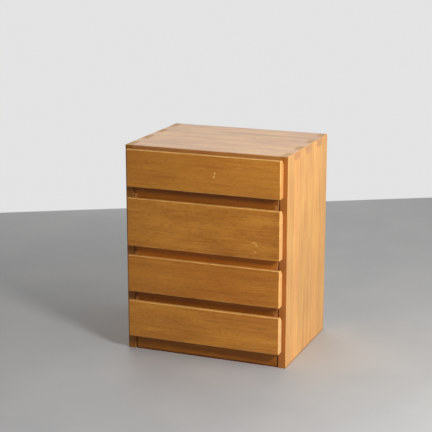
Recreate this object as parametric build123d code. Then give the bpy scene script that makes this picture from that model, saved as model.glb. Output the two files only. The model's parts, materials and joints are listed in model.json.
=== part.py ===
from build123d import *
import os

# A chest of four drawers in solid pine. The carcass is two sides and a top held by
# wide finger joints, the drawer fronts stand proud of it, and the gap above each
# front is the grip. X is the width, -Y the front and +Z up. The origin is the centre
# of the footprint, on the floor. All sizes are in millimetres.

# Carcass
carcass_width = 600.0
carcass_depth = 450.0
carcass_height = 750.0
board = 27.0
corner_finger_count = 7
arris_radius = 1.5

# Bottom panel, plinth and glue blocks
bottom_panel_thickness = 18.0
bottom_panel_underside = 50.0
housing_depth = 8.0
housing_setback = 12.0
plinth_setback = 3.0
plinth_end_gap = 7.0
plinth_thickness = 18.0
glue_block_width = 25.0
glue_block_height = 40.0

# Back panel and its pins
back_rebate_width = 10.0
back_rebate_depth = 6.0
back_panel_thickness = 5.0
back_panel_clearance = 0.5
pin_diameter = 1.6
pin_head_diameter = 4.4
pin_head_thickness = 1.0
pin_length = 20.0
pin_up_count = 5
pin_across_count = 3
pin_end_margin = 40.0

# Drawer fronts: three of one height, and a deep one second from the top, which takes
# what the others leave. The finger gaps are given from the top down.
front_height = 133.0
finger_gaps = (40.0, 35.0, 35.0)
toe_gap = 57.0
top_reveal = 10.0
front_inset = 16.0
front_thickness = 30.0
front_arris = 2.5
grip_bevel_depth = 14.0
grip_bevel_height = 16.0
closing_gap = 0.3

# Drawer boxes
room_behind_box = 29.3
box_wall = 12.0
side_clearance = 5.0
box_bottom_lift = 13.0
box_top_drop = 7.0
headroom = 8.0
box_finger = 20.0
drawer_bottom_thickness = 4.0
drawer_bottom_lift = 6.0
bottom_groove_depth = 5.0

# Runners and the grooves that ride on them
runner_height = 12.0
runner_setback = 25.0
room_behind_runner = 19.0
groove_depth = 7.0
runner_seat_gap = 0.3
runner_end_clearance = 0.7
runner_nose = 2.0

# Screws
screw_diameter = 3.5
screw_head_diameter = 7.0
screw_recess_depth = 1.4
screw_recess_width = 1.0
screw_recess_length = 4.0
runner_screw_length = 25.0
runner_screw_count = 3
runner_screw_margin = 40.0
front_screw_length = 30.0
front_screw_inset = 70.0
front_screw_margin = 22.0

# Worked out from the driving dimensions
overall_depth = front_thickness + closing_gap + carcass_depth
front_face = -overall_depth / 2
front_back_face = front_face + front_thickness
carcass_front = front_back_face + closing_gap
carcass_back = carcass_front + carcass_depth
half_width = carcass_width / 2
inner_half = half_width - board
top_underside = carcass_height - board
bottom_panel_top = bottom_panel_underside + bottom_panel_thickness
back_panel_front = carcass_back - back_rebate_depth
back_panel_rear = back_panel_front + back_panel_thickness
box_half = inner_half - side_clearance
box_front = front_back_face
box_back = back_panel_front - room_behind_box
runner_width = side_clearance + groove_depth - runner_end_clearance
runner_front = carcass_front + runner_setback
runner_back = back_panel_front - room_behind_runner
screw_head_height = (screw_head_diameter - screw_diameter) / 2
deep_front_height = carcass_height - toe_gap - 3 * front_height - sum(finger_gaps) - top_reveal
front_heights = (front_height, deep_front_height, front_height, front_height)


def span(x, y, z):
    """A block between two limits on each axis."""
    size = (x[1] - x[0], y[1] - y[0], z[1] - z[0])
    centre = ((x[0] + x[1]) / 2, (y[0] + y[1]) / 2, (z[0] + z[1]) / 2)
    return Pos(*centre) * Box(*size)


def mirrored(x, side):
    """The X limits given for the right side (+1), turned over for the left (-1)."""
    return x if side > 0 else (-x[1], -x[0])


def steps(first, last, count):
    """Evenly spaced places from first to last, both included."""
    return [first + (last - first) * i / (count - 1) for i in range(count)]


def fingers(first, last, count, parity):
    """The stretches of a jointed edge whose number is even (0) or odd (1)."""
    pitch = (last - first) / count
    return [(first + i * pitch, first + (i + 1) * pitch) for i in range(parity, count, 2)]


# Places of the four drawers, from the top one down
def front_levels():
    """Lower and upper edge of each drawer front."""
    levels = []
    low = toe_gap
    gaps_upwards = finger_gaps[::-1] + (0.0,)
    for height, gap in zip(front_heights[::-1], gaps_upwards):
        levels.append((low, low + height))
        low += height + gap
    return levels[::-1]


def box_levels(fronts):
    """Lower and upper edge of each drawer box: each tops out below the front above it."""
    levels = []
    for number, (low, high) in enumerate(fronts):
        if number == 0:
            top = top_underside - headroom
        else:
            top = fronts[number - 1][0] - box_top_drop
        levels.append((low + box_bottom_lift, top))
    return levels


def box_finger_count(level):
    """An odd number of fingers of about the chosen width."""
    return 2 * round(((level[1] - level[0]) / box_finger - 1) / 2) + 1


def runner_middle(level):
    """Height of the runner: the middle of the box side's own finger nearest half way up."""
    count = box_finger_count(level)
    middle = count // 2
    if middle % 2 == 0:
        middle += 1
    return level[0] + (level[1] - level[0]) * (middle + 0.5) / count


FRONTS = front_levels()
BOXES = box_levels(FRONTS)
RUNNERS = [runner_middle(level) for level in BOXES]


# Screws and pins
def wood_screw(length):
    """A countersunk screw along -Z with its head's face at the origin."""
    shank = length - screw_head_height - screw_diameter
    head = Pos(0, 0, -screw_head_height / 2) * Cone(
        screw_diameter / 2, screw_head_diameter / 2, screw_head_height
    )
    body = Pos(0, 0, -screw_head_height - shank / 2) * Cylinder(screw_diameter / 2, shank)
    point = Pos(0, 0, -length + screw_diameter / 2) * Cone(
        0, screw_diameter / 2, screw_diameter
    )
    recess = Box(screw_recess_length, screw_recess_width, 2 * screw_recess_depth)
    recess += Rot(0, 0, 90) * recess
    return head + body + point - recess


def screw_hole(length):
    """The countersunk hole that a wood screw of this length fills."""
    head = Pos(0, 0, -screw_head_height / 2) * Cone(
        screw_diameter / 2, screw_head_diameter / 2, screw_head_height
    )
    return head + Pos(0, 0, -length / 2) * Cylinder(screw_diameter / 2, length)


def back_pin():
    """A flat-headed pin along -Z with the face of its head at the origin."""
    head = Pos(0, 0, -pin_head_thickness / 2) * Cylinder(
        pin_head_diameter / 2, pin_head_thickness
    )
    shank = pin_length - pin_head_thickness
    return head + Pos(0, 0, -pin_head_thickness - shank / 2) * Cylinder(pin_diameter / 2, shank)


def pin_hole():
    """The round hole that a pin's shank fills."""
    return Pos(0, 0, -pin_length / 2) * Cylinder(pin_diameter / 2, pin_length)


def runner_screw_places(side):
    """Screws of every runner on one side, pointing outwards into the side panel."""
    ys = steps(runner_front + runner_screw_margin, runner_back - runner_screw_margin,
               runner_screw_count)
    x = side * (inner_half - runner_width)
    return [Location((x, y, z), (0, -90 * side, 0)) for z in RUNNERS for y in ys]


def front_screw_places(number):
    """Screws of one drawer front, driven forwards from inside the box."""
    low = max(BOXES[number][0], FRONTS[number][0]) + front_screw_margin
    high = min(BOXES[number][1], FRONTS[number][1] - grip_bevel_height) - front_screw_margin
    reach = box_half - front_screw_inset
    y = box_front + box_wall
    return [Location((x, y, z), (-90, 0, 0)) for x in (-reach, reach) for z in (low, high)]


def back_pin_places():
    """Pins round the edge of the back panel, driven forwards."""
    edge_x = inner_half + back_rebate_width / 2
    low = (bottom_panel_underside + bottom_panel_top) / 2
    high = top_underside + back_rebate_width / 2
    y = back_panel_rear + pin_head_thickness
    places = []
    for z in steps(low + pin_end_margin, high - pin_end_margin, pin_up_count):
        places += [(-edge_x, y, z), (edge_x, y, z)]
    reach = inner_half - pin_end_margin
    for x in steps(-reach, reach, pin_across_count):
        places += [(x, y, low), (x, y, high)]
    return [Location(place, (-90, 0, 0)) for place in places]


def drilled(piece, places, hole):
    """The piece with a hole at every place that reaches it."""
    for place in places:
        piece -= place * hole
    return piece


# Carcass
def rounded_carcass():
    """The carcass as one rounded block, which eases the outer arrises of its panels."""
    block = span((-half_width, half_width), (carcass_front, carcass_back), (0, carcass_height))
    edges = block.edges().filter_by(Axis.Z)
    edges += block.faces().sort_by(Axis.Z)[-1].edges()
    return fillet(edges, arris_radius)


def back_rebate():
    """The space that the back panel's edges take out of the sides and the top."""
    reach = inner_half + back_rebate_width
    return span((-reach, reach), (back_panel_front, carcass_back),
                (bottom_panel_underside, top_underside + back_rebate_width))


def side_panel(side, envelope):
    """A side: fingers along its top edge, a rebate at the back, a stopped housing below."""
    panel = span(mirrored((inner_half, half_width), side), (carcass_front, carcass_back),
                 (0, carcass_height))
    for stretch in fingers(carcass_front, carcass_back, corner_finger_count, 1):
        panel -= span(mirrored((inner_half, half_width), side), stretch,
                      (top_underside, carcass_height))
    panel -= back_rebate()
    panel -= span(mirrored((inner_half, inner_half + housing_depth), side),
                  (carcass_front + housing_setback, back_panel_front),
                  (bottom_panel_underside, bottom_panel_top))
    panel &= envelope
    panel = drilled(panel, runner_screw_places(side), screw_hole(runner_screw_length))
    return drilled(panel, back_pin_places(), pin_hole())


def top_panel(envelope):
    """The top: its own fingers sit between those of the sides."""
    panel = span((-half_width, half_width), (carcass_front, carcass_back),
                 (top_underside, carcass_height))
    for side in (-1, 1):
        for stretch in fingers(carcass_front, carcass_back, corner_finger_count, 0):
            panel -= span(mirrored((inner_half, half_width), side), stretch,
                          (top_underside, carcass_height))
    panel -= back_rebate()
    panel &= envelope
    return drilled(panel, back_pin_places(), pin_hole())


def bottom_panel():
    """The bottom: tongues run in the housings of the sides and stop short of the front."""
    panel = span((-inner_half, inner_half), (carcass_front, back_panel_front),
                 (bottom_panel_underside, bottom_panel_top))
    reach = inner_half + housing_depth
    panel += span((-reach, reach), (carcass_front + housing_setback, back_panel_front),
                  (bottom_panel_underside, bottom_panel_top))
    return drilled(panel, back_pin_places(), pin_hole())


def plinth_board():
    """The board under the lowest drawer: on the floor, just clear of the sides."""
    front = carcass_front + plinth_setback
    reach = inner_half - plinth_end_gap
    return span((-reach, reach), (front, front + plinth_thickness),
                (0, bottom_panel_underside))


def glue_block(side):
    """A block in the corner of plinth, side and bottom panel."""
    front = carcass_front + plinth_setback + plinth_thickness
    return span(mirrored((inner_half - glue_block_width, inner_half), side),
                (front, front + glue_block_width),
                (bottom_panel_underside - glue_block_height, bottom_panel_underside))


def back_panel():
    """Thin plywood in the rebate, over the back edge of the bottom panel."""
    reach = inner_half + back_rebate_width - back_panel_clearance
    panel = span((-reach, reach), (back_panel_front, back_panel_rear),
                 (bottom_panel_underside, top_underside + back_rebate_width - back_panel_clearance))
    return drilled(panel, back_pin_places(), pin_hole())


def runner(side, middle):
    """A hardwood strip along the side panel, its front end eased to lead the groove on."""
    strip = span(mirrored((inner_half - runner_width, inner_half), side),
                 (runner_front, runner_back),
                 (middle - runner_height / 2, middle + runner_height / 2))
    nose = strip.faces().sort_by(Axis.Y)[0].edges().filter_by(Axis.X)
    strip = chamfer(nose, runner_nose)
    return drilled(strip, runner_screw_places(side), screw_hole(runner_screw_length))


# Drawers
def drawer_front(number):
    """A thick board with a bevel along the top of its back, for the fingers."""
    low, high = FRONTS[number]
    reach = half_width - front_inset
    block = span((-reach, reach), (front_face, front_back_face), (low, high))
    ends = block.faces().sort_by(Axis.X)[0].edges().filter_by(Axis.Y)
    ends += block.faces().sort_by(Axis.X)[-1].edges().filter_by(Axis.Y)
    block = fillet(block.faces().sort_by(Axis.Y)[0].edges() + ends, front_arris)
    bevel = Plane.YZ * make_face(Polyline(
        (front_back_face - grip_bevel_depth, high),
        (front_back_face, high),
        (front_back_face, high - grip_bevel_height),
        (front_back_face - grip_bevel_depth, high),
    ))
    block -= extrude(bevel, amount=reach, both=True)
    return drilled(block, front_screw_places(number), screw_hole(front_screw_length))


def bottom_board(number):
    """Thin plywood, its edges in the grooves of the box."""
    low = BOXES[number][0] + drawer_bottom_lift
    reach = box_half - box_wall + bottom_groove_depth
    edge = box_wall - bottom_groove_depth
    return span((-reach, reach), (box_front + edge, box_back - edge),
                (low, low + drawer_bottom_thickness))


def end_wall(number, y):
    """A wall across the box, with the first and last finger of each corner."""
    level = BOXES[number]
    wall = span((-box_half, box_half), y, level)
    for side in (-1, 1):
        for stretch in fingers(*level, box_finger_count(level), 1):
            wall -= span(mirrored((box_half - box_wall, box_half), side), y, stretch)
    return wall - bottom_board(number)


def inner_front(number):
    """The front wall of the box, screwed to the back of the drawer front."""
    wall = end_wall(number, (box_front, box_front + box_wall))
    return drilled(wall, front_screw_places(number), screw_hole(front_screw_length))


def box_back_wall(number):
    """The back wall of the box."""
    return end_wall(number, (box_back - box_wall, box_back))


def box_side(number, side):
    """A side of the box: its groove rides on the runner and is closed at the front."""
    level = BOXES[number]
    x = mirrored((box_half - box_wall, box_half), side)
    wall = span(x, (box_front, box_back), level)
    for stretch in fingers(*level, box_finger_count(level), 0):
        wall -= span(x, (box_front, box_front + box_wall), stretch)
        wall -= span(x, (box_back - box_wall, box_back), stretch)
    groove_top = RUNNERS[number] + runner_height / 2 + runner_seat_gap
    groove_foot = RUNNERS[number] - runner_height / 2 - runner_seat_gap
    wall -= span(mirrored((box_half - groove_depth, box_half), side),
                 (runner_front - runner_seat_gap, box_back), (groove_foot, groove_top))
    return wall - bottom_board(number)


# The assembly
def chest():
    """Every piece of the chest under its own name."""
    envelope = rounded_carcass()
    screw = wood_screw(runner_screw_length)
    long_screw = wood_screw(front_screw_length)
    pin = back_pin()
    pieces = {
        "top_panel": top_panel(envelope),
        "bottom_panel": bottom_panel(),
        "plinth_board": plinth_board(),
        "back_panel": back_panel(),
        "back_pins": Compound(children=[place * pin for place in back_pin_places()]),
        "runner_screws": Compound(children=[
            place * screw for side in (-1, 1) for place in runner_screw_places(side)
        ]),
    }
    for side, hand in ((-1, "left"), (1, "right")):
        pieces["side_panel_" + hand] = side_panel(side, envelope)
        pieces["glue_block_" + hand] = glue_block(side)
        for number, middle in enumerate(RUNNERS):
            pieces[f"runner_{number + 1}_{hand}"] = runner(side, middle)
            pieces[f"drawer_{number + 1}_side_{hand}"] = box_side(number, side)
    for number in range(len(FRONTS)):
        name = f"drawer_{number + 1}_"
        pieces[name + "front"] = drawer_front(number)
        pieces[name + "inner_front"] = inner_front(number)
        pieces[name + "back"] = box_back_wall(number)
        pieces[name + "bottom"] = bottom_board(number)
        pieces[name + "front_screws"] = Compound(children=[
            place * long_screw for place in front_screw_places(number)
        ])
    return pieces


os.makedirs("parts", exist_ok=True)
for node, solid in chest().items():
    export_step(solid, f"parts/{node}.step")

print("fronts", FRONTS)
print("boxes", BOXES)
print("runners", RUNNERS)
print("box depth", box_back - box_front, "runner length", runner_back - runner_front)
print("overall depth", overall_depth, "front face at", front_face)
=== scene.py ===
# %% [markdown]
# # A chest of four drawers in solid pine
#
# The real object is a small floor-standing chest. Its sides and top are panels glued up
# from pine staves and held by wide finger joints, and its drawer fronts are thick boards
# that stand proud of the carcass. The gap over each front is the grip.
#
# The solids come from CAD and are right in size, so they are the frame of this scene.
# What CAD leaves out is what this lesson adds: worn arrises, dents, grain, glue lines,
# end grain and a satin oil finish. Lengths are in metres, X is the width, -Y is the
# front and +Z is up.

# %% Load the frame
import math

import bmesh
import bpy
from mathutils import Matrix, Vector, noise
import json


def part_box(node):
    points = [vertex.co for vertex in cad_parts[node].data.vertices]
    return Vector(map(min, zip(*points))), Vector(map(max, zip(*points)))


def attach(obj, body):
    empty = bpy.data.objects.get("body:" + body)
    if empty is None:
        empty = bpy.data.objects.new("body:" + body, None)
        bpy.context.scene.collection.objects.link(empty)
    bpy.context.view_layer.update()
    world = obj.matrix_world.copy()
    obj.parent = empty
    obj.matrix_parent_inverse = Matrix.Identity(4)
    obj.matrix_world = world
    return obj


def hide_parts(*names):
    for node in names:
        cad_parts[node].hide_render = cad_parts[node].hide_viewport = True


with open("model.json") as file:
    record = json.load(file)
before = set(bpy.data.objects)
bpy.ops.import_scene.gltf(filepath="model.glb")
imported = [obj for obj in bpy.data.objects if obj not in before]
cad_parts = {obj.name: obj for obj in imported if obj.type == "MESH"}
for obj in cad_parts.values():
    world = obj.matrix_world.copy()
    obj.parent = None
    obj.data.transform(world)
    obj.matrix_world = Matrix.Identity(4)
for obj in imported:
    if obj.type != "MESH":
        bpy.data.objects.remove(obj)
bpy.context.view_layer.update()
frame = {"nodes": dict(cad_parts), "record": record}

body_of = {
    node: body
    for body, nodes in frame["record"]["behaviour"]["bodies"].items()
    for node in nodes
}

# %% [markdown]
# ## The camera
#
# The chest was photographed with a long lens from a standing eye's height, a little to
# the right of its front. The vanishing points of the edges give the direction, and the
# seven visible corners of the carcass give the distance and the lens. The rotation is
# written as two plain angles, because the camera isn't tilted sideways. The view transform
# is set to Standard here too, so that a colour comes out of the camera as it is written.

# %% Camera
CAMERA_PLACE = (1.61005, -4.17774, 1.61139)
CAMERA_AZIMUTH = 21.576
CAMERA_ELEVATION = 14.306
CAMERA_LENS = 106.519
SENSOR_WIDTH = 36.0

camera_data = bpy.data.cameras.new("camera")
camera_data.sensor_width = SENSOR_WIDTH
camera_data.lens = CAMERA_LENS
camera = bpy.data.objects.new("camera", camera_data)
camera.location = CAMERA_PLACE
camera.rotation_euler = (math.radians(90 - CAMERA_ELEVATION), 0, math.radians(CAMERA_AZIMUTH))
bpy.context.scene.collection.objects.link(camera)
bpy.context.scene.camera = camera
bpy.context.scene.view_settings.view_transform = "Standard"
print("camera at", CAMERA_PLACE, "lens", CAMERA_LENS, "mm")

# %% [markdown]
# ## Shader helpers
#
# Every material here is a graph of nodes. Writing each node and link out in full takes
# five lines, so small helpers do it. One adds a node and fills its sockets, and the rest
# are built on it: a step of arithmetic, a value eased from one range to another, cloudy
# noise, two colours mixed, a node group made or placed, a material begun or ended.
#
# A colour is given as a painter would pick it on screen, from 0 to 255, and is made linear
# for the shader.


# %% Helpers for nodes
def paint(red, green, blue):
    """A colour picked on screen, 0 to 255, as a linear shader colour."""
    shares = [c / 255 for c in (red, green, blue)]
    linear = [c / 12.92 if c <= 0.04045 else ((c + 0.055) / 1.055) ** 2.4 for c in shares]
    return (*linear, 1.0)


def add(tree, kind, sockets=None, **settings):
    """A shader node with its settings made and its sockets filled or linked."""
    made = tree.nodes.new("ShaderNode" + kind)
    for name, value in settings.items():
        setattr(made, name, value)
    for name, value in (sockets or {}).items():
        if isinstance(value, bpy.types.NodeSocket):
            tree.links.new(value, made.inputs[name])
        else:
            made.inputs[name].default_value = value
    return made


def sums(tree, operation, *values):
    """One step of arithmetic, as a socket."""
    return add(tree, "Math", dict(enumerate(values)), operation=operation).outputs[0]


def plus(tree, first, second):
    """Two values added, as a socket."""
    return sums(tree, "ADD", first, second)


def times(tree, first, second):
    """Two values multiplied, as a socket."""
    return sums(tree, "MULTIPLY", first, second)


def centred(tree, value, reach):
    """A value from 0 to 1 turned into one that swings evenly round 0, as a socket."""
    return times(tree, sums(tree, "SUBTRACT", value, 0.5), reach)


def ramp(tree, value, low, high, to_low=0.0, to_high=1.0):
    """A value eased from one range to another and held at its ends, as a socket."""
    sockets = {"Value": value, 1: low, 2: high, 3: to_low, 4: to_high}
    return add(tree, "MapRange", sockets, interpolation_type="SMOOTHSTEP").outputs[0]


def cloudy(tree, place, scale, detail):
    """Cloudy noise from 0 to 1, as a socket."""
    return add(tree, "TexNoise", {"Vector": place, "Scale": scale, "Detail": detail}).outputs[0]


def mixed(tree, share, first, second, blend="MIX"):
    """Two colours mixed by a share, as a socket."""
    made = add(tree, "Mix", {0: share, 6: first, 7: second}, data_type="RGBA", blend_type=blend)
    return made.outputs[2]


def place_group(tree, group, sockets):
    """A node group placed in a material, as its outputs."""
    return add(tree, "Group", sockets, node_tree=group).outputs


def new_group(name, inputs, outputs):
    """An empty node group with named sockets: its tree, what comes in and what goes out."""
    tree = bpy.data.node_groups.new(name, "ShaderNodeTree")
    for socket, (kind, value) in inputs.items():
        made = tree.interface.new_socket(socket, in_out="INPUT", socket_type="NodeSocket" + kind)
        made.default_value = value
    for socket in outputs:
        tree.interface.new_socket(socket, in_out="OUTPUT", socket_type="NodeSocketFloat")
    return tree, tree.nodes.new("NodeGroupInput").outputs, tree.nodes.new("NodeGroupOutput").inputs


def begin_material(name):
    """An empty material: itself, its node tree, and where each point is on its object."""
    material = bpy.data.materials.new(name)
    material.use_nodes = True
    tree = material.node_tree
    tree.nodes.clear()
    return material, tree, add(tree, "TexCoord").outputs["Object"]


def end_material(tree, sockets):
    """A surface with its sockets filled, joined to the material's output."""
    surface = add(tree, "BsdfPrincipled", sockets)
    add(tree, "OutputMaterial", {"Surface": surface.outputs[0]})


print("a mid grey of 128 is", round(paint(128, 128, 128)[0], 3), "to the shader")

# %% [markdown]
# ## Sawn grain
#
# A board is a slice of a trunk, and its figure is the trunk's growth rings where the saw
# crossed them. A flat stripe pattern could imitate one face, but its stripes would not
# join up round the corner. So the rings are worked out in the solid: each is a distance
# from the trunk's middle, which lies somewhere outside the board. Flat faces then show
# long lines or tongues, and end faces show arcs, without any more work.
#
# Between the rings a planed board also shows fine fibres, paler streaks, short dark flecks
# and a broad mottling, where the saw ran in and out of the grain. Those follow no ring, so
# they are four noises, each drawn out along the grain to its own length and width.
#
# In this group X runs along the grain, Y across the staves of a glued-up panel, and Z
# through the thickness. Every stave gets its own trunk middle and its own tone.

# %% Group: sawn grain
TRUNK_ASIDE = 0.11
TRUNK_BELOW = 0.028
TRUNK_DEEPER = 0.08
RING_WANDER = 0.034
STAVE_SEED_STEP = 7.31
RING_SEED_STEP = 3.7
SUMMER_GROWS = (0.25, 0.9)
SUMMER_ENDS = (0.92, 1.0)
FAINTEST_RING = 0.35
GLUE_LINE = (0.0002, 0.0011)
# How finely each layer changes along and across the grain, its detail, and the part of
# the noise that it takes
GRAIN_LAYERS = {
    "Fibre": (22.0, 330.0, 3.0, (0.3, 0.7)),
    "Streak": (3.5, 75.0, 2.0, (0.3, 0.7)),
    "Fleck": (55.0, 130.0, 1.5, (0.46, 0.70)),
    "Mottle": (5.0, 26.0, 3.0, (0.3, 0.7)),
}

grain_group, given, result = new_group(
    "sawn grain",
    {
        "Vector": ("Vector", (0, 0, 0)),
        "Ring Spacing": ("Float", 0.003),
        "Stave Width": ("Float", 0.075),
        "Waviness": ("Float", 1.0),
        "Seed": ("Float", 0.0),
    },
    ("Rings", *GRAIN_LAYERS, "Tone", "Seam"),
)
t = grain_group
axes = add(t, "SeparateXYZ", {0: given["Vector"]}).outputs
stave = sums(t, "FLOOR", sums(t, "DIVIDE", axes["Y"], given["Stave Width"]))
stave_seed = plus(t, times(t, stave, STAVE_SEED_STEP), given["Seed"])
lottery = add(t, "TexWhiteNoise", {"W": stave_seed}, noise_dimensions="1D")
draw = add(t, "SeparateColor", {0: lottery.outputs["Color"]}).outputs
middle = times(t, plus(t, stave, 0.5), given["Stave Width"])
across = sums(t, "SUBTRACT", axes["Y"], middle)


def grain_noise(along, wide, detail):
    """Noise drawn out along the grain, another one in every stave."""
    drawn = add(t, "CombineXYZ", {
        0: plus(t, times(t, axes["X"], along), stave_seed),
        1: times(t, axes["Y"], wide),
        2: times(t, axes["Z"], wide),
    }).outputs[0]
    return cloudy(t, drawn, 1.0, detail)


# The trunk's middle for this stave, and a slow wander of the rings round it
trunk_y = centred(t, draw[0], TRUNK_ASIDE)
trunk_z = plus(t, times(t, draw[1], TRUNK_DEEPER), TRUNK_BELOW)
wander = grain_noise(2.2, 9.0, 2.0)
aside = sums(t, "POWER", sums(t, "SUBTRACT", across, trunk_y), 2.0)
below = sums(t, "POWER", plus(t, axes["Z"], trunk_z), 2.0)
away = sums(t, "POWER", plus(t, aside, below), 0.5)
drift = times(t, centred(t, wander, RING_WANDER), given["Waviness"])
rings = sums(t, "DIVIDE", plus(t, away, drift), given["Ring Spacing"])

# Each ring darkens slowly through the summer and ends sharply, some more than others
season = sums(t, "FRACT", rings)
late = times(t, ramp(t, season, *SUMMER_GROWS), ramp(t, season, *SUMMER_ENDS, 1.0, 0.0))
ring_seed = plus(t, sums(t, "FLOOR", rings), times(t, stave_seed, RING_SEED_STEP))
ring_draw = add(t, "TexWhiteNoise", {"W": ring_seed}, noise_dimensions="1D").outputs["Value"]
t.links.new(times(t, late, ramp(t, ring_draw, 0.0, 1.0, FAINTEST_RING, 1.0)), result["Rings"])

# Fibres, streaks, short flecks and broad mottling are noise drawn out along the grain
for name, (along, wide, detail, taken) in GRAIN_LAYERS.items():
    t.links.new(ramp(t, grain_noise(along, wide, detail), *taken), result[name])

# The glue line between two staves fades out over about a millimetre
half_stave = times(t, given["Stave Width"], 0.5)
edge = sums(t, "SUBTRACT", half_stave, sums(t, "ABSOLUTE", across))
t.links.new(ramp(t, edge, *GLUE_LINE, 1.0, 0.0), result["Seam"])
t.links.new(draw[2], result["Tone"])
print("sawn grain has", len(t.nodes), "nodes")

# %% [markdown]
# ## Faces, arrises and scuffs
#
# Three more things depend on where a point is on its board. The end faces are crosscut
# and show the ends of the fibres. The arrises, which are the long edges, are rounded by
# hands and cloths, and their oil wears off; on the drawer fronts their paleness is pushed
# further as a painted highlight. And every face has some fine scuffs.
#
# Painting these by hand would need a UV map for each board. The normal gives the first
# two for nothing: on a rounded edge it points along no axis, and on an end face it
# points along the grain. It also tells which faces look forwards or up. The forward faces
# get a tint, partly from handling and partly as painted shade, and on the drawer fronts
# the upward faces get a painted highlight.
#
# A single scratch, stain or knot has a place of its own. The last group turns the
# distance from that place into a ragged spot, stretched as wide and as high as needed.

# %% Group: board faces
# The parts of the normal between which each kind of face fades in or out
CROSSCUT = (0.72, 0.9)
FORWARDS = (-0.9, -0.6)
UPWARDS = (0.6, 0.9)
ROUNDED = (0.78, 0.985)
# The part of the noise over which an arris goes from little worn to fully worn
WORN_PATCHES = (0.3, 0.62)

faces_group, given, result = new_group(
    "board faces",
    {"Along": ("Vector", (1, 0, 0)), "Vector": ("Vector", (0, 0, 0))},
    ("End", "Front", "Up", "Arris"),
)
t = faces_group
normal = add(t, "TexCoord").outputs["Normal"]
aligned = add(t, "VectorMath", {0: normal, 1: given["Along"]}, operation="DOT_PRODUCT")
t.links.new(ramp(t, sums(t, "ABSOLUTE", aligned.outputs["Value"]), *CROSSCUT), result["End"])
parts = add(t, "SeparateXYZ", {0: normal}).outputs
t.links.new(ramp(t, parts["Y"], *FORWARDS, 1.0, 0.0), result["Front"])
t.links.new(ramp(t, parts["Z"], *UPWARDS), result["Up"])
parts = [sums(t, "ABSOLUTE", part) for part in parts]
largest = sums(t, "MAXIMUM", sums(t, "MAXIMUM", parts[0], parts[1]), parts[2])
rounded = ramp(t, largest, *ROUNDED, 1.0, 0.0)
patches = ramp(t, cloudy(t, given["Vector"], 26.0, 3.0), *WORN_PATCHES, 0.45, 1.0)
t.links.new(times(t, rounded, patches), result["Arris"])
print("board faces has", len(t.nodes), "nodes")

# %% Group: scuffs
# Two sets of scratches, each with its turn, its tilt and its fineness
SCRATCHES = ((0.3, 0.5, 60.0), (-0.4, -0.9, 75.0))
DEEP_ENOUGH = (0.75, 0.84)
SCUFFED_PLACES = (0.48, 0.62)

scuff_group, given, result = new_group(
    "scuffs",
    {"Vector": ("Vector", (0, 0, 0)), "Amount": ("Float", 1.0)},
    ("Scuffs", "Blotch"),
)
t = scuff_group
where = cloudy(t, given["Vector"], 7.0, 1.0)
scuffs = 0.0
for turn, tilt, scale in SCRATCHES:
    turned = add(t, "Mapping", {"Vector": given["Vector"], "Rotation": (tilt, turn, tilt),
                                "Scale": (0.3, 6.0, 6.0)}).outputs[0]
    scuffs = sums(t, "MAXIMUM", scuffs, ramp(t, cloudy(t, turned, scale, 0.0), *DEEP_ENOUGH))
scuffs = times(t, scuffs, ramp(t, where, *SCUFFED_PLACES))
t.links.new(times(t, scuffs, given["Amount"]), result["Scuffs"])
t.links.new(ramp(t, cloudy(t, given["Vector"], 4.5, 3.0), 0.3, 0.7), result["Blotch"])
print("scuffs has", len(t.nodes), "nodes")

# %% Group: one mark
RAGGEDNESS = 1.2
MARK_EDGE = (0.4, 1.1)

mark_group, given, result = new_group(
    "one mark", {"Vector": ("Vector", (0, 0, 0)), "Local": ("Vector", (0, 0, 0))}, ("Mark",),
)
t = mark_group
ragged = cloudy(t, given["Vector"], 330.0, 2.0)
distance = add(t, "VectorMath", {0: given["Local"]}, operation="LENGTH").outputs["Value"]
distance = plus(t, distance, centred(t, ragged, RAGGEDNESS))
t.links.new(ramp(t, distance, *MARK_EDGE, 1.0, 0.0), result["Mark"])
print("one mark has", len(t.nodes), "nodes")
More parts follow.
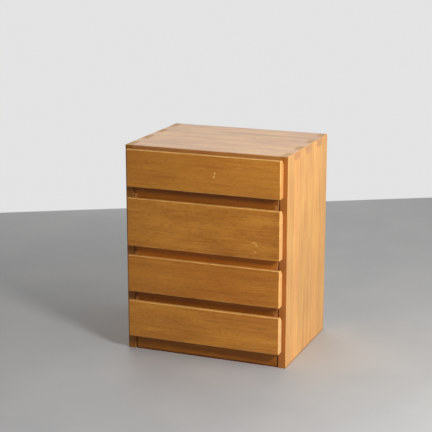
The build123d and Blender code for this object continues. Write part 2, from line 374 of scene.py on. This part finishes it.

# %% [markdown]
# ## The woods
#
# One recipe makes every wood in the chest. Each board gets its own copy and a seed that
# shifts the pattern, because no two boards come from the same place in a trunk. Only the
# pairs of runners and of glue blocks, which are out of sight, share theirs. A Mapping node
# turns the board so that its grain lies along the pattern's X. The colours are a pale
# springwood and a darker summerwood, then streaks, flecks, the stave's own tone, the
# crosscut ends, the glue lines, the worn arrises and the scuffs, in that order.
#
# Front faces get a tint, partly from handling and partly as painted shade, and the upper
# faces of the drawer fronts are painted pale as a painted highlight. Marks come last:
# scratches, dents, dark lines and pale patches on the drawer fronts, and a painted
# contact shadow along the feet. Each front also changes a few values of its finish,
# because the four boards differ in tone and figure, and the ends of the lower three are
# painted paler, as painted light against the key lamp's falloff.

# %% Finishes
FINISHES = {
    "pine": dict(
        spring=paint(231, 172, 100), summer=paint(212, 149, 79), streak=paint(243, 188, 117),
        end=paint(230, 184, 138), bare=paint(248, 196, 128), dark=paint(150, 88, 36),
        handled=paint(204, 184, 150), ring_spacing=0.0032, roughness=0.45, specular=0.3, coat=0.05,
        tone=0.17, mottle=0.09, swing=0.009, fleck=0.12, streaks=0.36, arris=0.35, worn_and_highlit=0.0,
    ),
    "pine_top": dict(
        spring=paint(246, 187, 124), summer=paint(219, 156, 100), streak=paint(255, 207, 150),
        end=paint(203, 138, 72), bare=paint(250, 204, 150), dark=paint(140, 90, 52),
        handled=paint(186, 166, 122), ring_spacing=0.0032, roughness=0.38, specular=0.5, coat=0.45,
        tone=0.22, mottle=0.22, swing=0.016, fleck=0.50, streaks=0.60, arris=0.25, worn_and_highlit=0.0,
    ),
    # The fronts are the same pine as the sides. Their faces are painted deeper and more saturated,
    # partly as their own darker tone and partly as painted shade, and their arrises and upward
    # faces are painted pale, partly as wear and partly as a painted highlight.
    "pine_front": dict(
        spring=paint(201, 131, 49), summer=paint(168, 101, 31), streak=paint(214, 147, 62),
        end=paint(226, 165, 96), bare=paint(255, 200, 120), dark=paint(84, 40, 8),
        handled=paint(255, 255, 255), ring_spacing=0.0040, roughness=0.45, specular=0.3, coat=0.0,
        tone=0.10, mottle=0.14, swing=0.007, fleck=0.46, streaks=0.50, arris=0.95, worn_and_highlit=0.60,
    ),
    "pine_box": dict(
        spring=paint(206, 146, 84), summer=paint(176, 112, 58), streak=paint(218, 160, 98),
        end=paint(186, 124, 68), bare=paint(222, 172, 114), dark=paint(120, 72, 36),
        handled=paint(255, 255, 255), ring_spacing=0.0034, roughness=0.60, specular=0.4, coat=0.0,
        tone=0.10, mottle=0.08, swing=0.015, fleck=0.3, streaks=0.45, arris=0.4, worn_and_highlit=0.0,
    ),
    "beech": dict(
        spring=paint(200, 150, 104), summer=paint(184, 130, 86), streak=paint(208, 160, 114),
        end=paint(168, 116, 74), bare=paint(214, 170, 126), dark=paint(120, 80, 50),
        handled=paint(255, 255, 255), ring_spacing=0.0050, roughness=0.38, specular=0.5, coat=0.0,
        tone=0.06, mottle=0.06, swing=0.005, fleck=0.5, streaks=0.45, arris=0.4, worn_and_highlit=0.0,
    ),
}
AXIS = {"x": Vector((1, 0, 0)), "y": Vector((0, 1, 0)), "z": Vector((0, 0, 1))}


def grain_turn(along, across):
    """The rotation that turns a board so that its grain runs along X and its width along Y."""
    x, y = AXIS[along], AXIS[across]
    return Matrix((x, y, x.cross(y))).to_euler()


print("finishes:", ", ".join(FINISHES))

# %% A board's material
ONE_STAVE = 10.0
SEED_SHIFT = (0.37, 0.013)
FIBRE_SHARE = 0.28
BLOTCH_SHARE = 0.10
END_RING_SHARE = 0.6
SEAM_SHARE = 0.55
SCUFF_SHARE = 0.35
RELIEF_SHARE = 0.35
RELIEF_DEPTH = 0.0003
ROUGHER_ENDS = 0.15
SMOOTHER_RINGS = 0.06


def board_colour(t, look, grain, faces, worn):
    """The colour of a board, before its own marks."""
    colour = mixed(t, grain["Rings"], look["spring"], look["summer"])
    colour = mixed(t, times(t, grain["Streak"], look["streaks"]), colour, look["streak"])
    fibre = times(t, grain["Fibre"], FIBRE_SHARE)
    fleck = times(t, grain["Fleck"], look["fleck"])
    colour = mixed(t, sums(t, "MAXIMUM", fibre, fleck), colour, look["summer"])

    tone = 0.0
    for value, share in ((grain["Tone"], look["tone"]), (worn["Blotch"], BLOTCH_SHARE),
                         (grain["Mottle"], look["mottle"])):
        tone = plus(t, tone, centred(t, value, share))
    colour = add(t, "HueSaturation", {
        "Hue": plus(t, 0.5, centred(t, grain["Mottle"], look["swing"])),
        "Value": plus(t, 1.0, tone), "Color": colour,
    }).outputs[0]

    ends = mixed(t, times(t, grain["Rings"], END_RING_SHARE), look["end"], look["summer"])
    colour = mixed(t, faces["End"], colour, ends)
    colour = mixed(t, times(t, grain["Seam"], SEAM_SHARE), colour, look["dark"])
    # The forward faces get a tint: handling on some boards, painted shade on others.
    colour = mixed(t, faces["Front"], colour, look["handled"], blend="MULTIPLY")
    # Upward faces and arrises are lightened: arris wear, and on the drawer fronts also a painted
    # highlight.
    worn_and_highlit = sums(t, "MAXIMUM", times(t, faces["Up"], look["worn_and_highlit"]),
                  times(t, faces["Arris"], look["arris"]))
    colour = mixed(t, worn_and_highlit, colour, look["bare"])
    return mixed(t, times(t, worn["Scuffs"], SCUFF_SHARE), colour, look["bare"])


def marked(t, place, look, marks, colour, hollow):
    """The colour with marks painted over it, and the hollows with the bare marks added."""
    for centre, reach, turn, tint, share in marks:
        local = add(t, "Mapping", {"Vector": place, "Location": centre, "Rotation": (0, turn, 0),
                                   "Scale": reach}, vector_type="TEXTURE").outputs[0]
        spot = place_group(t, mark_group, {"Vector": place, "Local": local})["Mark"]
        colour = mixed(t, times(t, spot, share), colour, look[tint])
        if tint == "bare":
            hollow = sums(t, "MAXIMUM", hollow, spot)
    return colour, hollow


def wood(name, finish, along, across, seed, stave_width=ONE_STAVE, waviness=1.0, scuffs=0.6,
         marks=(), **changes):
    """A board's own material. A mark is its centre, reach, turn, colour and share."""
    look = {**FINISHES[finish], **changes}
    material, t, place = begin_material(name)
    turned = add(t, "Mapping", {
        "Vector": place, "Rotation": grain_turn(along, across),
        "Location": (SEED_SHIFT[0] * seed, 0.0, SEED_SHIFT[1] * (seed % 5)),
    }).outputs[0]
    grain = place_group(t, grain_group, {
        "Vector": turned, "Ring Spacing": look["ring_spacing"], "Stave Width": stave_width,
        "Waviness": waviness, "Seed": float(seed),
    })
    faces = place_group(t, faces_group, {"Along": AXIS[along], "Vector": place})
    worn = place_group(t, scuff_group, {"Vector": place, "Amount": scuffs})

    colour = board_colour(t, look, grain, faces, worn)
    colour, hollow = marked(t, place, look, marks, colour, worn["Scuffs"])
    raised = plus(t, times(t, grain["Fibre"], 0.5), times(t, grain["Rings"], 0.5))
    relief = sums(t, "SUBTRACT", raised, hollow)
    bump = add(t, "Bump", {"Height": relief, "Strength": RELIEF_SHARE, "Distance": RELIEF_DEPTH})
    shine = plus(t, look["roughness"], times(t, faces["End"], ROUGHER_ENDS))
    shine = sums(t, "SUBTRACT", shine, times(t, grain["Rings"], SMOOTHER_RINGS))
    end_material(t, {
        "Base Color": colour, "Roughness": shine, "Normal": bump.outputs[0],
        "Specular IOR Level": look["specular"], "Coat Weight": look["coat"],
        "Coat Roughness": 0.3,
    })
    return material


print("a board's material draws on", len(FINISHES["pine"]), "values of its finish")

# %% [markdown]
# ## Plywood and plated steel
#
# The drawer bottoms and the back are thin plywood. Its face veneer is peeled off a
# turning log, so its figure is broad and cloudy, and its edges show the crossed layers.
# The screws and pins are zinc-plated steel: a metal with a dull, slightly blotchy grey.

# %% Plywood and steel
VENEER_BANDS = 13.0
VENEER_DRAWN = (1.1, 7.0, 7.0)
PORES_DRAWN = (30.0, 700.0, 700.0)
VENEER = {
    "pale": paint(222, 186, 138), "band": paint(198, 154, 104), "pore": paint(170, 124, 78),
    "blotch": paint(190, 146, 100), "long layer": paint(206, 164, 112),
    "cross layer": paint(150, 104, 62),
}


def plywood(name, along, across, layers, seed):
    """Peeled veneer with crossed layers on its edges. Layers are counted to a metre."""
    material, t, place = begin_material(name)
    turned = add(t, "Mapping", {
        "Vector": place, "Rotation": grain_turn(along, across),
        "Location": (SEED_SHIFT[0] * seed, 0.0, 0.0),
    }).outputs[0]
    drawn = add(t, "Mapping", {"Vector": turned, "Scale": VENEER_DRAWN}).outputs[0]
    figure = add(t, "TexNoise", {"Vector": drawn, "Scale": 1.0, "Detail": 1.5,
                                 "Distortion": 0.3}).outputs[0]
    bands = sums(t, "FRACT", times(t, figure, VENEER_BANDS))
    bands = sums(t, "ABSOLUTE", sums(t, "SUBTRACT", bands, 0.5))
    drawn = add(t, "Mapping", {"Vector": turned, "Scale": PORES_DRAWN}).outputs[0]
    pores = cloudy(t, drawn, 1.0, 1.0)
    blotch = place_group(t, scuff_group, {"Vector": place})["Blotch"]
    colour = mixed(t, ramp(t, bands, 0.15, 0.5, 0.0, 0.4), VENEER["pale"], VENEER["band"])
    colour = mixed(t, ramp(t, pores, 0.45, 0.75, 0.0, 0.4), colour, VENEER["pore"])
    colour = mixed(t, times(t, blotch, 0.25), colour, VENEER["blotch"])

    thickness = AXIS[along].cross(AXIS[across])
    faces = place_group(t, faces_group, {"Along": thickness, "Vector": place})
    depth = add(t, "VectorMath", {0: place, 1: thickness}, operation="DOT_PRODUCT")
    layer = sums(t, "FRACT", times(t, depth.outputs["Value"], layers))
    edge = mixed(t, ramp(t, layer, 0.45, 0.55), VENEER["long layer"], VENEER["cross layer"])
    colour = mixed(t, faces["End"], edge, colour)
    bump = add(t, "Bump", {"Height": pores, "Strength": 0.3, "Distance": RELIEF_DEPTH})
    end_material(t, {"Base Color": colour, "Normal": bump.outputs[0], "Roughness": 0.62})
    return material


def plated_steel(name):
    """Dull zinc plate with darker blotches, duller in some places than in others."""
    material, t, place = begin_material(name)
    cloud = cloudy(t, place, 420.0, 4.0)
    blotch = place_group(t, scuff_group, {"Vector": place})["Blotch"]
    colour = mixed(t, ramp(t, cloud, 0.35, 0.7), paint(196, 190, 172), paint(150, 146, 134))
    bump = add(t, "Bump", {"Height": cloud, "Strength": 0.2, "Distance": 0.0001})
    end_material(t, {
        "Base Color": colour, "Roughness": plus(t, 0.34, times(t, blotch, 0.2)),
        "Normal": bump.outputs[0], "Metallic": 1.0,
    })
    return material


steel = plated_steel("zinc_steel")
print("steel and plywood ready")

# %% [markdown]
# ## Studio
#
# The chest stands on a plain pale floor. About two metres behind the chest the floor
# simply stops, on a line read from the photograph, and the world's own pale colour stands
# behind it, so nothing blocks the views from the back.
#
# One soft lamp half a metre wide stands to the right, in front and above, near enough that
# the shadows in the finger gaps get steeper further down. A second, broad one lights the
# right side, and a third, behind on the left, keeps the far faces readable. The lamps
# don't show in reflections, so the oiled top mirrors the world's colour and no lamp.

# %% Floor
FLOOR_FAR_EDGE = (Vector((-1.77421, 1.35309, 0)), Vector((0.22385, 2.50465, 0)))
FLOOR_SIZE = 60.0

along_edge = (FLOOR_FAR_EDGE[1] - FLOOR_FAR_EDGE[0]).normalized()
edge_turn = math.atan2(along_edge.y, along_edge.x)
towards_camera = Vector((along_edge.y, -along_edge.x, 0))
floor_mesh = bmesh.new()
bmesh.ops.create_grid(floor_mesh, x_segments=1, y_segments=1, size=FLOOR_SIZE / 2)
bmesh.ops.transform(
    floor_mesh, verts=floor_mesh.verts,
    matrix=Matrix.Translation(FLOOR_FAR_EDGE[0] + towards_camera * FLOOR_SIZE / 2)
    @ Matrix.Rotation(edge_turn, 4, "Z"),
)
floor_data = bpy.data.meshes.new("floor")
floor_mesh.to_mesh(floor_data)
floor_mesh.free()
floor = bpy.data.objects.new("floor", floor_data)
bpy.context.scene.collection.objects.link(floor)
floor_look, t, place = begin_material("floor")
cloud = ramp(t, cloudy(t, place, 3.0, 5.0), 0.3, 0.7)
end_material(t, {
    "Base Color": mixed(t, cloud, paint(186, 187, 187), paint(193, 193, 192)), "Roughness": 0.6,
})
floor_data.materials.append(floor_look)
print("floor edge turned", round(math.degrees(edge_turn), 1), "degrees")

# %% World and lamps
WALL = 0.77
AMBIENT = 0.22
LAMP_TARGET = Vector((0, 0, 0.4))
# Each lamp's place, the length of its side and its power in watts
LAMPS = {
    "key": ((1.915, -1.41, 1.625), 0.5, 48),
    "side": ((4.0, 0.5, 1.6), 2.0, 52),
    "back": ((-2.2, 3.4, 2.2), 2.0, 42),
}

world = bpy.data.worlds.new("studio")
bpy.context.scene.world = world
world.use_nodes = True
t = world.node_tree
t.nodes.clear()
ray = add(t, "LightPath").outputs
reflected = sums(t, "MAXIMUM", ray["Is Glossy Ray"], ray["Is Transmission Ray"])
seen = sums(t, "MAXIMUM", ray["Is Camera Ray"], reflected)
strength = plus(t, AMBIENT, times(t, seen, WALL - AMBIENT))
light = add(t, "Background", {"Color": (1, 1, 1, 1), "Strength": strength})
add(t, "OutputWorld", {"Surface": light.outputs[0]})


def lamp(name, place, size, power):
    """A square soft lamp that looks at the chest and is kept out of reflections."""
    data = bpy.data.lights.new(name, "AREA")
    data.shape, data.size, data.energy = "SQUARE", size, power
    made = bpy.data.objects.new(name, data)
    made.visible_glossy = False
    made.location = place
    made.rotation_euler = (LAMP_TARGET - Vector(place)).to_track_quat("-Z", "Y").to_euler()
    bpy.context.scene.collection.objects.link(made)


for name, (place, size, power) in LAMPS.items():
    lamp(name, place, size, power)

# %% [markdown]
# ## Boards from bmesh
#
# Each visible board becomes a mesh of its own. A front starts as a cube. The joints of
# the carcass and of the boxes are already right in the CAD shape, so those boards start
# from a merged copy of it. Then two things are done that CAD leaves out: the sharp edges
# are eased, and the rounded ones are worn back a little, more in some places than in
# others. Wear needs points to move, so a board is first sliced into rows. Only slanted
# faces are worn, so the flush edges of a joint stay shut.
#
# At the end each board is shaded smooth, apart from the edges that are really sharp, and
# its large faces pull the normals their way. Flat faces then stay flat right up to the
# rounding.

# %% Tools for shapes
SAME_POINT = 1e-6


def cube_between(lo, hi):
    """A box between two corners."""
    shape = bmesh.new()
    bmesh.ops.create_cube(shape, size=1.0)
    bmesh.ops.scale(shape, vec=hi - lo, verts=shape.verts)
    bmesh.ops.translate(shape, vec=(lo + hi) / 2, verts=shape.verts)
    return shape


def merged_copy(node):
    """The shape of a CAD node with its triangles joined into whole faces."""
    shape = bmesh.new()
    shape.from_mesh(frame["nodes"][node].data)
    bmesh.ops.remove_doubles(shape, verts=shape.verts, dist=SAME_POINT)
    bmesh.ops.dissolve_limit(
        shape, angle_limit=math.radians(1), verts=shape.verts, edges=shape.edges,
    )
    return shape


def slice_rows(shape, axis, pitch):
    """Cuts right through the shape in even steps along one axis."""
    low = min(v.co.dot(axis) for v in shape.verts)
    high = max(v.co.dot(axis) for v in shape.verts)
    count = max(1, round((high - low) / pitch))
    for step in range(1, count):
        geometry = shape.verts[:] + shape.edges[:] + shape.faces[:]
        place = axis * (low + (high - low) * step / count)
        bmesh.ops.bisect_plane(shape, geom=geometry, dist=SAME_POINT, plane_co=place, plane_no=axis)


def ease(shape, edges, width, segments):
    """Rounds some edges."""
    bmesh.ops.bevel(shape, geom=edges, offset=width, offset_type="OFFSET", segments=segments,
                    profile=0.5, affect="EDGES", material=-1, clamp_overlap=True)


def sharp_edges(shape, angle):
    """The edges between faces that meet at more than an angle."""
    return [e for e in shape.edges if len(e.link_faces) == 2
            and e.calc_face_angle(0) > math.radians(angle)]


def slant(direction):
    """How far a direction is from the nearest axis: 0 along an axis, 0.4 midway between all."""
    return 1 - max(abs(direction.x), abs(direction.y), abs(direction.z))


print("shape tools ready")

# %% Wear and finish
WEAR_WAVES = (38, 140)
WEAR_EVERYWHERE = 0.35
SLANTED = 0.01
FULLY_SLANTED = 0.25
SHADED_SHARP = 50


def wear(shape, depth, seed):
    """Moves the points of rounded edges in, by a noise that runs along the board.

    Only the slanted faces round a point count, so the flush edges of a joint stay put.
    """
    shape.normal_update()
    moves = {}
    for point in shape.verts:
        slanted = (f.normal for f in point.link_faces if slant(f.normal) > SLANTED)
        outwards = sum(slanted, Vector())
        if outwards.length == 0:
            continue
        outwards.normalize()
        rough = noise.noise(point.co * WEAR_WAVES[0] + Vector((seed, 0, 0)))
        rough += 0.5 * noise.noise(point.co * WEAR_WAVES[1] + Vector((0, seed, 0)))
        share = max(0.0, WEAR_EVERYWHERE + rough)
        rounded = min(1.0, slant(outwards) / FULLY_SLANTED)
        moves[point] = outwards * depth * share * rounded
    for point, move in moves.items():
        point.co -= move
    return len(moves)


def finished(shape, node, material):
    """The board as an object that stands for its CAD node."""
    bmesh.ops.recalc_face_normals(shape, faces=shape.faces)
    hard = set(sharp_edges(shape, SHADED_SHARP))
    for face in shape.faces:
        face.smooth = True
    for edge in shape.edges:
        edge.smooth = edge not in hard
    data = bpy.data.meshes.new(node + "_board")
    shape.to_mesh(data)
    shape.free()
    data.materials.append(material)
    board = bpy.data.objects.new(node + "_board", data)
    bpy.context.scene.collection.objects.link(board)
    flat = board.modifiers.new("flat faces", "WEIGHTED_NORMAL")
    flat.keep_sharp = True
    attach(board, body_of[node])
    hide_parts(node)
    return board


def triangles(board):
    """How many triangles a board has."""
    return sum(len(p.vertices) - 2 for p in board.data.polygons)


print("where the noise is level, edges are worn by", WEAR_EVERYWHERE, "of the depth")

# %% [markdown]
# ## Top and sides
#
# The two sides and the top are panels of staves about 75 mm wide, glued edge to edge.
# They meet in wide finger joints that were planed flush after gluing, so the joint shows
# only as crosscut ends between long grain. The grain runs up the sides and across the
# top.
#
# The top has faded paler than the rest and kept more of its sheen, so it has a finish of
# its own, with a thin coat over it and darker crosscut ends. The front edges of the sides
# are darkened partly by handling and partly as painted shade, the left one more, and a
# painted contact shadow runs along their feet.

# %% Top and sides
STAVE = 0.075
PANEL_PITCH = 0.012
PANEL_WEAR = 0.0007
PANEL_WEAR_SEED = 5
# The painted contact shadow's reach, turn, colour and share
FOOT_CONTACT_SHADE = ((0.05, 0.60, 0.0055), 0.0, "dark", 0.75)
PANELS = {
    "top_panel": dict(finish="pine_top", along="x", seed=3, waviness=1.0),
    # The left side's forward tint is darker than the right's: handling, and painted shade from the
    # drawer fronts.
    "side_panel_left": dict(
        finish="pine", along="z", seed=11, waviness=0.9, handled=paint(172, 150, 96),
        marks=[((-0.3, 0, 0), *FOOT_CONTACT_SHADE)],
    ),
    "side_panel_right": dict(
        finish="pine", along="z", seed=7, waviness=0.6, handled=paint(200, 167, 131),
        marks=[((0.3, 0, 0), *FOOT_CONTACT_SHADE)],
    ),
}

for node, values in PANELS.items():
    shape = merged_copy(node)
    slice_rows(shape, AXIS[values["along"]], PANEL_PITCH)
    slice_rows(shape, AXIS["y"], PANEL_PITCH)
    moved = wear(shape, PANEL_WEAR, PANEL_WEAR_SEED)
    look = wood(node, across="y", stave_width=STAVE, **values)
    board = finished(shape, node, look)
    print(node, triangles(board), "triangles,", moved, "points worn")

# %% [markdown]
# ## Drawer fronts
#
# Each front is one thick board. Along the top of its back a wide bevel makes room for
# the fingers. Its front arrises and its ends are rounded, and more than anything else on
# the chest they are worn by hands. The board starts as a cube, the bevel is one cut with
# a slanting plane, and the rounding is a bevel of the edges round its face and ends.
# After slicing, the dents are pressed in by moving points. All the dents of a board share
# one finer grid round them, because a second one next to it would leave long thin faces.
#
# The marks are where the photograph has them: on the top board an upright scratch, on the
# deep one a dent with a pale rim and a pin knot, and dark lines on all four. A dark end at
# the left of each board is painted shade, and broad pale marks on the left of two boards
# are painted light.

# %% Drawer fronts: shape
GRIP_DEPTH = 0.014
GRIP_HEIGHT = 0.016
FRONT_ARRIS = 0.0027
ARRIS_STEPS = 4
FRONT_PITCH = 0.010
FRONT_WEAR = 0.0010
# Where the faces of the four boards are in Y, and how near to it a point lies on them
FACE = -0.24015
ON_FACE = 0.001
DENT_DEPTH = 0.0004
DENT_ROOM = 0.022
DENT_CUTS = 4
SQUARELY = 0.9


def front_board(lo, hi):
    """A thick board with a finger bevel behind its top edge and rounded arrises."""
    shape = cube_between(lo, hi)
    cut = bmesh.ops.bisect_plane(
        shape, geom=shape.verts[:] + shape.edges[:] + shape.faces[:],
        plane_co=Vector((lo.x, hi.y - GRIP_DEPTH, hi.z)),
        plane_no=Vector((0, GRIP_HEIGHT, GRIP_DEPTH)).normalized(), clear_outer=True,
    )
    edges = [e for e in cut["geom_cut"] if isinstance(e, bmesh.types.BMEdge)]
    bmesh.ops.contextual_create(shape, geom=edges)
    shape.normal_update()

    # The edges round the face first, then those between an end and the top or bottom
    rim = [e for e in shape.edges if any(f.normal.y < -SQUARELY for f in e.link_faces)]
    rim += [e for e in shape.edges if e not in rim
            and any(abs(f.normal.x) > SQUARELY for f in e.link_faces)
            and any(abs(f.normal.z) > SQUARELY for f in e.link_faces)]
    ease(shape, rim, FRONT_ARRIS, ARRIS_STEPS)
    return shape


def left_edge(lo, hi):
    """The middle of a board's left edge, on its face."""
    return Vector((lo.x, lo.y, (lo.z + hi.z) / 2))


def press(shape, dents):
    """Presses dents into the face of a board, on a finer grid round them."""
    centres = [Vector(centre) for centre, reach in dents]
    near = [f for f in shape.faces if f.normal.y < -SQUARELY
            and any((f.calc_center_median() - centre).length < DENT_ROOM for centre in centres)]
    edges = list({e for f in near for e in f.edges})
    bmesh.ops.subdivide_edges(shape, edges=edges, cuts=DENT_CUTS, use_grid_fill=True)
    for point in shape.verts:
        if abs(point.co.y - FACE) > ON_FACE:
            continue
        depth = 0.0
        for centre, reach in dents:
            aside = (point.co.x - centre[0]) / reach[0]
            above = (point.co.z - centre[2]) / reach[2]
            depth += DENT_DEPTH * math.exp(-(aside ** 2 + above ** 2))
        point.co.y += depth


print("finger bevel", GRIP_DEPTH, "deep and", GRIP_HEIGHT, "high")

# %% Drawer fronts: finish
# Each mark is its centre, its reach each way, its turn, its colour and its share
MARKS = {
    "drawer_1_front": [((0.0485, FACE, 0.6797), (0.0036, 0.006, 0.0080), 0.25, "bare", 0.55),
                       ((0.0453, FACE, 0.6667), (0.0042, 0.006, 0.0070), 0.30, "bare", 0.55),
                       ((-0.2173, FACE, 0.6188), (0.0500, 0.010, 0.0060), 0.0, "dark", 0.14)],
    "drawer_2_front": [((0.1921, FACE, 0.4496), (0.0120, 0.006, 0.0034), 0.15, "bare", 0.5),
                       ((0.2010, FACE, 0.4415), (0.0080, 0.006, 0.0034), 0.70, "bare", 0.5),
                       ((0.1968, FACE, 0.4178), (0.0060, 0.006, 0.0045), -0.60, "bare", 0.35),
                       ((-0.1333, FACE, 0.4923), (0.0065, 0.020, 0.0040), 0.0, "dark", 0.3),
                       ((-0.1546, FACE, 0.4582), (0.0900, 0.010, 0.0022), 0.02, "dark", 0.30),
                       ((0.0405, FACE, 0.4368), (0.0650, 0.010, 0.0045), -0.04, "dark", 0.18),
                       # A broad pale mark on the left: painted light.
                       ((-0.2100, FACE, 0.4800), (0.2200, 0.020, 0.1100), 0.0, "streak", 0.20)],
    "drawer_3_front": [((0.0814, FACE, 0.2572), (0.0800, 0.010, 0.0035), 0.03, "dark", 0.18),
                       # A broad pale mark on the left: painted light.
                       ((-0.2100, FACE, 0.2900), (0.2200, 0.020, 0.0900), 0.0, "streak", 0.20)],
    "drawer_4_front": [((0.0441, FACE, 0.1478), (0.0330, 0.010, 0.0060), 0.0, "dark", 0.15),
                       ((0.2182, FACE, 0.1452), (0.0500, 0.010, 0.0050), -0.05, "dark", 0.18)],
}
# The paler ends of fronts 2 to 4 are painted light against the key lamp's falloff further down; the
# other changes are the boards' own tone and figure.
FRONT_CHANGES = {
    1: {"streaks": 0.4},
    2: {"end": paint(236, 181, 116), "fleck": 0.60, "mottle": 0.20},
    3: {"end": paint(240, 183, 115), "swing": 0.004, "handled": paint(252, 243, 230)},
    4: {"end": paint(242, 196, 134), "mottle": 0.22, "spring": paint(208, 136, 52)},
}

for number, changes in FRONT_CHANGES.items():
    node = f"drawer_{number}_front"
    lo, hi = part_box(node)
    shape = front_board(lo, hi)
    slice_rows(shape, AXIS["x"], FRONT_PITCH)
    slice_rows(shape, AXIS["z"], FRONT_PITCH)
    moved = wear(shape, FRONT_WEAR, 20 + number)
    dents = [(centre, reach) for centre, reach, turn, tint, share in MARKS[node] if tint == "bare"]
    if dents:
        press(shape, dents)
    # The dark left end is painted shade.
    left_end = (left_edge(lo, hi), (0.0045, 0.020, 0.200), 0.0, "dark", 0.5)
    look = wood(node, "pine_front", "x", "z", 30 + number, waviness=1.3,
                marks=MARKS[node] + [left_end], **changes)
    board = finished(shape, node, look)
    print(node, triangles(board), "triangles,", moved, "points worn")

# %% [markdown]
# ## Drawer boxes
#
# Behind each front is a plain box of thin boards with small finger joints, and a
# plywood bottom in grooves. Its sides have the long groove that rides on the runner.
# The wood was planed and left bare, so it is duller than the outside. Only the inner
# fronts show in the finger gaps. They are oiled like the fronts, and each gets a tint of its
# own as painted shade, darker in some gaps than in others, with more painted shade in the
# corner at its left end.

# %% Drawer boxes
BOX_EASE = 0.0004
SQUARE = 40
BOTTOM_LAYERS = 750.0
# Each wall's direction of grain, and what it adds to the seed
BOX_WALLS = {
    "inner_front": ("x", 11), "back": ("x", 4),
    "side_left": ("y", 9), "side_right": ("y", 10),
}
# Tints of the inner fronts: painted shade, as dark as each finger gap.
INNER_FRONT_SHADE = {
    1: paint(236, 222, 194), 2: paint(196, 180, 157),
    3: paint(248, 233, 204), 4: paint(208, 195, 171),
}


def box_look(node, number, along, seed):
    """The wood of a box wall. The inner front is finished like the front before it."""
    if not node.endswith("inner_front"):
        return wood(node, "pine_box", along, "z", seed, scuffs=0.4)
    # Painted shade in the inner corner at the left end of the gap.
    corner = (left_edge(*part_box(node)), (0.016, 0.010, 0.150), 0.0, "dark", 0.5)
    return wood(node, "pine_front", along, "z", seed, scuffs=0.3, marks=[corner],
                handled=INNER_FRONT_SHADE[number])


for number in range(1, 5):
    counted = 0
    for part, (along, more) in BOX_WALLS.items():
        node = f"drawer_{number}_{part}"
        shape = merged_copy(node)
        ease(shape, sharp_edges(shape, SQUARE), BOX_EASE, 2)
        look = box_look(node, number, along, 50 + 4 * number + more)
        counted += triangles(finished(shape, node, look))
    node = f"drawer_{number}_bottom"
    shape = merged_copy(node)
    ease(shape, sharp_edges(shape, SQUARE), BOX_EASE / 2, 1)
    look = plywood(node, "x", "y", BOTTOM_LAYERS, number)
    counted += triangles(finished(shape, node, look))
    print(f"drawer_{number} box", counted, "triangles")

# %% [markdown]
# ## The rest of the carcass
#
# The plinth, the bottom, the glue blocks, the back and the runners have the right shape
# already, so they keep their CAD meshes and get a wood each. The plinth is oiled like the
# drawer fronts, and a painted contact shadow runs along its foot as a dark line. The screws
# and pins get the plated steel.

# %% Rest of the carcass
BACK_LAYERS = 600.0
# The painted contact shadow's reach, turn, colour and share
PLINTH_CONTACT_SHADE = ((0.60, 0.05, 0.0085), 0.0, "dark", 0.9)


def dress(node, material):
    """Gives a carried-over CAD node its material."""
    mesh = frame["nodes"][node].data
    mesh.materials.clear()
    mesh.materials.append(material)


plinth_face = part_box("plinth_board")[0].y
foot_line = ((0, plinth_face, 0), *PLINTH_CONTACT_SHADE)
dress("plinth_board", wood("plinth_board", "pine_front", "x", "z", 41, marks=[foot_line],
                           handled=paint(209, 195, 145)))
dress("bottom_panel", wood("bottom_panel", "pine_box", "x", "y", 43, stave_width=STAVE))
dress("back_panel", plywood("back_panel", "z", "x", BACK_LAYERS, 9))
for hand in ("left", "right"):
    dress("glue_block_" + hand, wood("glue_block_" + hand, "pine_box", "x", "z", 47))
    for number in range(1, 5):
        node = f"runner_{number}_{hand}"
        dress(node, wood(node, "beech", "y", "z", 60 + number))
for node in ("back_pins", "runner_screws", *(f"drawer_{n}_front_screws" for n in range(1, 5))):
    dress(node, steel)
print("carried over:", sum(not o.hide_render for o in frame["nodes"].values()), "CAD nodes")

# %% [markdown]
# ## A last import
#
# This cell only imports json.

# %% A last import
import json
